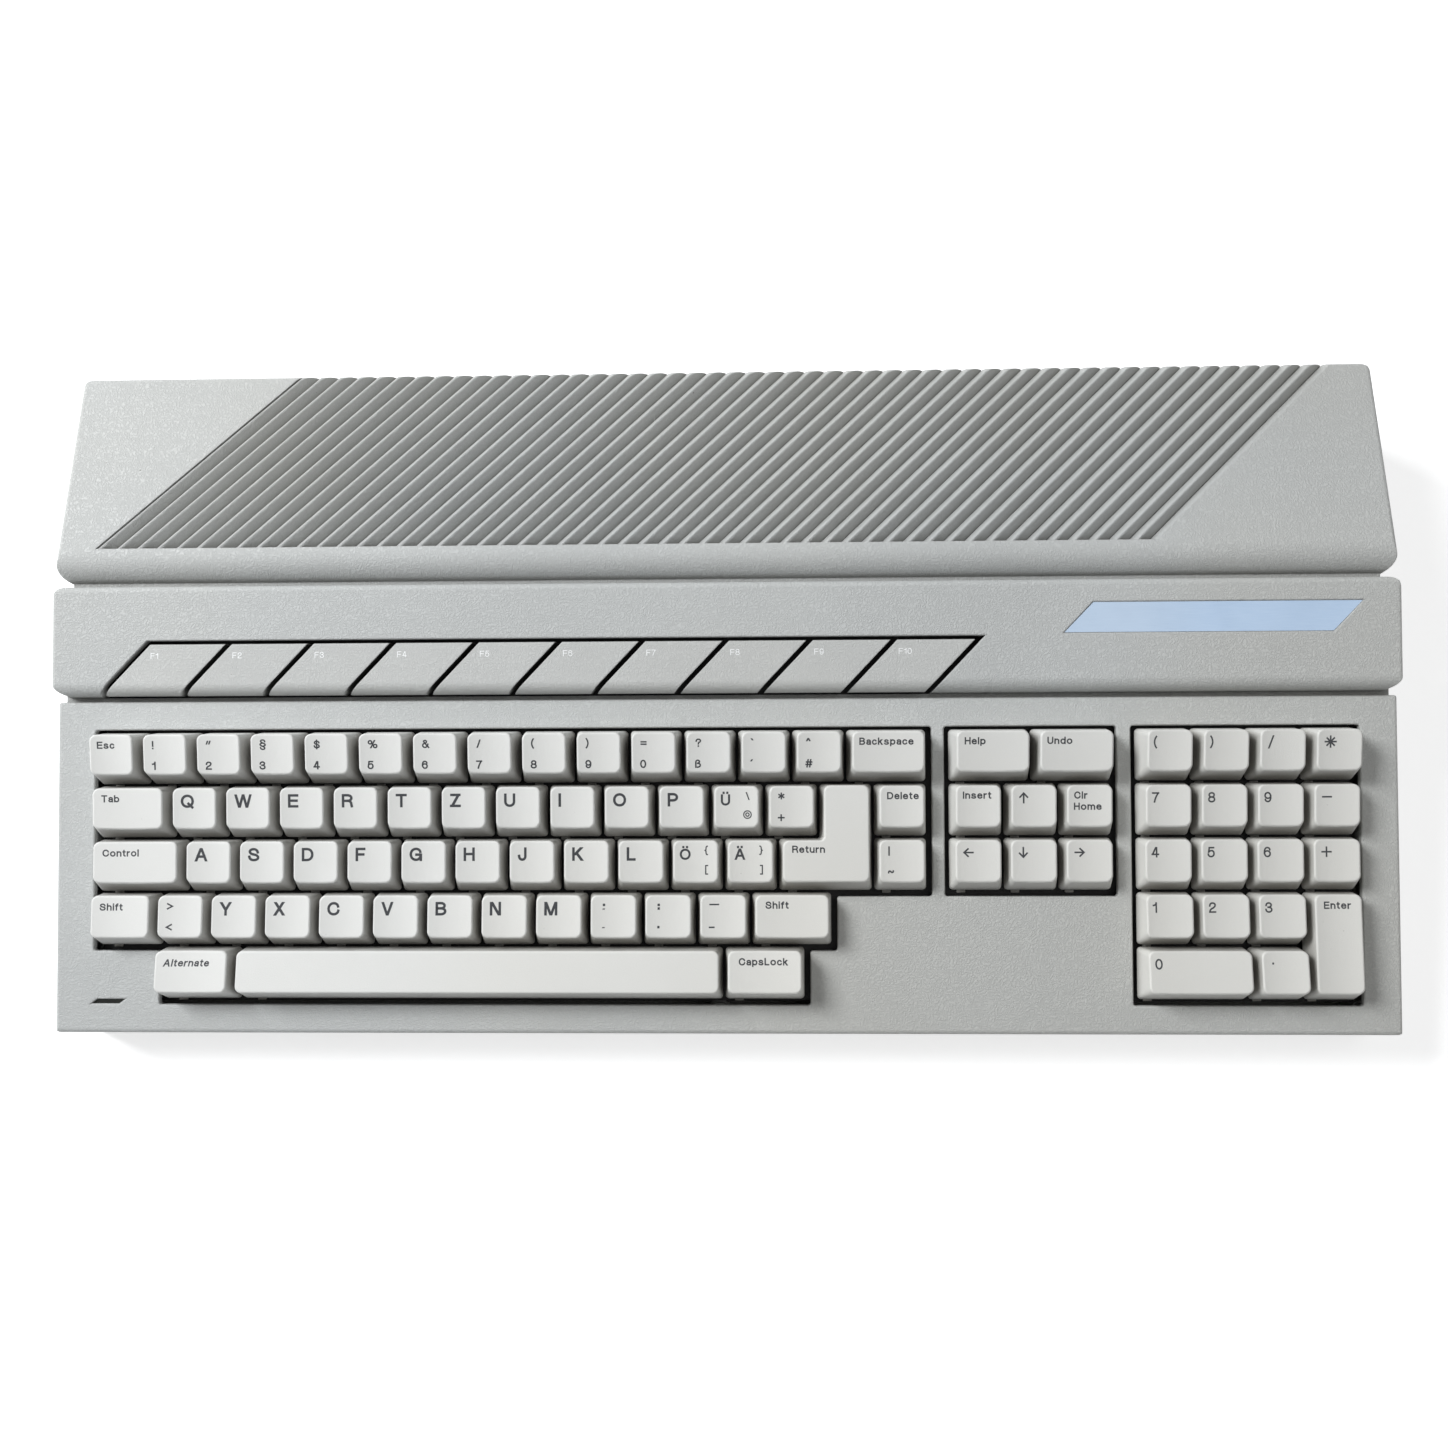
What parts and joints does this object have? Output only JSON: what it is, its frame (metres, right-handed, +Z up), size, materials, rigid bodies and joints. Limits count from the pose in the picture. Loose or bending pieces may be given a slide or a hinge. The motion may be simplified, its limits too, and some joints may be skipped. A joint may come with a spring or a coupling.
{
  "type": "home computer",
  "caption": "Low wedge home computer with a built-in full keyboard, slanted function keys, a ribbed rear top and sockets along the back and sides.",
  "frame": {"origin": "Middle of the footprint, on the plane the rubber feet stand on.", "axes": "+X to the user's right, +Y towards the rear sockets, +Z up. The key deck is tilted 8.5 degrees about X, rising to the back."},
  "size_m": [0.4732, 0.2376, 0.0584],
  "materials": {
    "case_plastic": "fine moulded texture, light cool grey",
    "key_plastic": "satin off-white",
    "function_key_plastic": "satin pale grey",
    "name_plate_enamel": "pale blue satin enamel, bare",
    "light_lens": "dark translucent lens, unlit",
    "foot_rubber": "matt",
    "dome_rubber": "matt",
    "screw_steel": "zinc plated",
    "plate_steel": "zinc plated sheet",
    "shield_tinplate": "tinned sheet",
    "guide_plastic": "black moulding",
    "board_laminate": "green solder mask",
    "chip_epoxy": "moulded epoxy",
    "capacitor_sleeve": "shrink sleeve",
    "cable_plastic": "grey ribbon",
    "socket_plastic": "black moulding",
    "socket_metal": "tinned shells with contact pins",
    "switch_plastic": "black moulding",
    "rocker_plastic": "black"
  },
  "bodies": {
    "case": {"upper_case": "case_plastic", "lower_case": "case_plastic", "rubber_feet": "foot_rubber", "case_screws": "screw_steel", "name_plate": "name_plate_enamel", "power_light": "light_lens", "keyboard_base_plate": "plate_steel", "key_guide_frame": "guide_plastic", "rubber_dome_sheet": "dome_rubber", "keyboard_circuit_board": "board_laminate", "keyboard_screws": "screw_steel", "keyboard_cable": "cable_plastic", "main_circuit_board": "board_laminate", "board_screws": "screw_steel", "lower_shield": "shield_tinplate", "upper_shield": "shield_tinplate", "processor": "chip_epoxy", "memory_chips": "chip_epoxy", "support_chips": "chip_epoxy", "capacitors": "capacitor_sleeve", "cartridge_socket": "socket_plastic", "joystick_sockets": "socket_metal", "modem_socket": "socket_metal", "printer_socket": "socket_plastic", "hard_disk_socket": "socket_plastic", "floppy_socket": "socket_plastic", "monitor_socket": "socket_plastic", "midi_sockets": "socket_plastic", "power_socket": "socket_plastic", "power_switch_body": "switch_plastic", "reset_switch": "switch_plastic"},
    "escape_key": {"escape_key": "key_plastic"},
    "number_row_keys": {"number_row_keys": "key_plastic"},
    "backspace_key": {"backspace_key": "key_plastic"},
    "tab_key": {"tab_key": "key_plastic"},
    "top_letter_keys": {"top_letter_keys": "key_plastic"},
    "control_key": {"control_key": "key_plastic"},
    "home_letter_keys": {"home_letter_keys": "key_plastic"},
    "left_shift_key": {"left_shift_key": "key_plastic"},
    "bottom_letter_keys": {"bottom_letter_keys": "key_plastic"},
    "right_shift_key": {"right_shift_key": "key_plastic"},
    "alternate_key": {"alternate_key": "key_plastic"},
    "space_bar": {"space_bar": "key_plastic"},
    "caps_lock_key": {"caps_lock_key": "key_plastic"},
    "help_and_cursor_keys": {"help_and_cursor_keys": "key_plastic"},
    "keypad_keys": {"keypad_keys": "key_plastic"},
    "keypad_enter_key": {"keypad_enter_key": "key_plastic"},
    "return_key": {"return_key": "key_plastic"},
    "function_key_1": {"function_key_1": "function_key_plastic"},
    "function_key_2": {"function_key_2": "function_key_plastic"},
    "function_key_3": {"function_key_3": "function_key_plastic"},
    "function_key_4": {"function_key_4": "function_key_plastic"},
    "function_key_5": {"function_key_5": "function_key_plastic"},
    "function_key_6": {"function_key_6": "function_key_plastic"},
    "function_key_7": {"function_key_7": "function_key_plastic"},
    "function_key_8": {"function_key_8": "function_key_plastic"},
    "function_key_9": {"function_key_9": "function_key_plastic"},
    "function_key_10": {"function_key_10": "function_key_plastic"},
    "power_switch_rocker": {"power_switch_rocker": "rocker_plastic"},
    "reset_button": {"reset_button": "rocker_plastic"}
  },
  "joints": [
    {"name": "escape_key_travel", "type": "slide", "parent": "case", "child": "escape_key", "axis": [0, 0.1478, -0.989], "range_m": [0, 0.0038], "stiffness_N_per_m": 150, "springref_m": -0.002},
    {"name": "number_row_keys_travel", "type": "slide", "parent": "case", "child": "number_row_keys", "axis": [0, 0.1478, -0.989], "range_m": [0, 0.0038], "stiffness_N_per_m": 1950, "springref_m": -0.002},
    {"name": "backspace_key_travel", "type": "slide", "parent": "case", "child": "backspace_key", "axis": [0, 0.1478, -0.989], "range_m": [0, 0.0038], "stiffness_N_per_m": 150, "springref_m": -0.002},
    {"name": "tab_key_travel", "type": "slide", "parent": "case", "child": "tab_key", "axis": [0, 0.1478, -0.989], "range_m": [0, 0.0038], "stiffness_N_per_m": 150, "springref_m": -0.002},
    {"name": "top_letter_keys_travel", "type": "slide", "parent": "case", "child": "top_letter_keys", "axis": [0, 0.1478, -0.989], "range_m": [0, 0.0038], "stiffness_N_per_m": 1950, "springref_m": -0.002},
    {"name": "control_key_travel", "type": "slide", "parent": "case", "child": "control_key", "axis": [0, 0.1478, -0.989], "range_m": [0, 0.0038], "stiffness_N_per_m": 150, "springref_m": -0.002},
    {"name": "home_letter_keys_travel", "type": "slide", "parent": "case", "child": "home_letter_keys", "axis": [0, 0.1478, -0.989], "range_m": [0, 0.0038], "stiffness_N_per_m": 1800, "springref_m": -0.002},
    {"name": "left_shift_key_travel", "type": "slide", "parent": "case", "child": "left_shift_key", "axis": [0, 0.1478, -0.989], "range_m": [0, 0.0038], "stiffness_N_per_m": 150, "springref_m": -0.002},
    {"name": "bottom_letter_keys_travel", "type": "slide", "parent": "case", "child": "bottom_letter_keys", "axis": [0, 0.1478, -0.989], "range_m": [0, 0.0038], "stiffness_N_per_m": 1650, "springref_m": -0.002},
    {"name": "right_shift_key_travel", "type": "slide", "parent": "case", "child": "right_shift_key", "axis": [0, 0.1478, -0.989], "range_m": [0, 0.0038], "stiffness_N_per_m": 150, "springref_m": -0.002},
    {"name": "alternate_key_travel", "type": "slide", "parent": "case", "child": "alternate_key", "axis": [0, 0.1478, -0.989], "range_m": [0, 0.0038], "stiffness_N_per_m": 150, "springref_m": -0.002},
    {"name": "space_bar_travel", "type": "slide", "parent": "case", "child": "space_bar", "axis": [0, 0.1478, -0.989], "range_m": [0, 0.0038], "stiffness_N_per_m": 450, "springref_m": -0.002},
    {"name": "caps_lock_key_travel", "type": "slide", "parent": "case", "child": "caps_lock_key", "axis": [0, 0.1478, -0.989], "range_m": [0, 0.0038], "stiffness_N_per_m": 150, "springref_m": -0.002},
    {"name": "help_and_cursor_keys_travel", "type": "slide", "parent": "case", "child": "help_and_cursor_keys", "axis": [0, 0.1478, -0.989], "range_m": [0, 0.0038], "stiffness_N_per_m": 1200, "springref_m": -0.002},
    {"name": "keypad_keys_travel", "type": "slide", "parent": "case", "child": "keypad_keys", "axis": [0, 0.1478, -0.989], "range_m": [0, 0.0038], "stiffness_N_per_m": 2550, "springref_m": -0.002},
    {"name": "keypad_enter_key_travel", "type": "slide", "parent": "case", "child": "keypad_enter_key", "axis": [0, 0.1478, -0.989], "range_m": [0, 0.0038], "stiffness_N_per_m": 225, "springref_m": -0.002},
    {"name": "return_key_travel", "type": "slide", "parent": "case", "child": "return_key", "axis": [0, 0.1478, -0.989], "range_m": [0, 0.0038], "stiffness_N_per_m": 225, "springref_m": -0.002},
    {"name": "function_key_1_travel", "type": "slide", "parent": "case", "child": "function_key_1", "axis": [0, 0.1478, -0.989], "range_m": [0, 0.003], "stiffness_N_per_m": 180, "springref_m": -0.002},
    {"name": "function_key_2_travel", "type": "slide", "parent": "case", "child": "function_key_2", "axis": [0, 0.1478, -0.989], "range_m": [0, 0.003], "stiffness_N_per_m": 180, "springref_m": -0.002},
    {"name": "function_key_3_travel", "type": "slide", "parent": "case", "child": "function_key_3", "axis": [0, 0.1478, -0.989], "range_m": [0, 0.003], "stiffness_N_per_m": 180, "springref_m": -0.002},
    {"name": "function_key_4_travel", "type": "slide", "parent": "case", "child": "function_key_4", "axis": [0, 0.1478, -0.989], "range_m": [0, 0.003], "stiffness_N_per_m": 180, "springref_m": -0.002},
    {"name": "function_key_5_travel", "type": "slide", "parent": "case", "child": "function_key_5", "axis": [0, 0.1478, -0.989], "range_m": [0, 0.003], "stiffness_N_per_m": 180, "springref_m": -0.002},
    {"name": "function_key_6_travel", "type": "slide", "parent": "case", "child": "function_key_6", "axis": [0, 0.1478, -0.989], "range_m": [0, 0.003], "stiffness_N_per_m": 180, "springref_m": -0.002},
    {"name": "function_key_7_travel", "type": "slide", "parent": "case", "child": "function_key_7", "axis": [0, 0.1478, -0.989], "range_m": [0, 0.003], "stiffness_N_per_m": 180, "springref_m": -0.002},
    {"name": "function_key_8_travel", "type": "slide", "parent": "case", "child": "function_key_8", "axis": [0, 0.1478, -0.989], "range_m": [0, 0.003], "stiffness_N_per_m": 180, "springref_m": -0.002},
    {"name": "function_key_9_travel", "type": "slide", "parent": "case", "child": "function_key_9", "axis": [0, 0.1478, -0.989], "range_m": [0, 0.003], "stiffness_N_per_m": 180, "springref_m": -0.002},
    {"name": "function_key_10_travel", "type": "slide", "parent": "case", "child": "function_key_10", "axis": [0, 0.1478, -0.989], "range_m": [0, 0.003], "stiffness_N_per_m": 180, "springref_m": -0.002},
    {"name": "power_switch_rock", "type": "hinge", "parent": "case", "child": "power_switch_rocker", "pos_m": [-0.172, 0.113, 0.017], "axis": [0, 0, 1], "range_deg": [0, 14]},
    {"name": "reset_button_press", "type": "slide", "parent": "case", "child": "reset_button", "axis": [0, -1, 0], "range_m": [0, 0.0015], "stiffness_N_per_m": 400, "springref_m": -0.001}
  ]
}
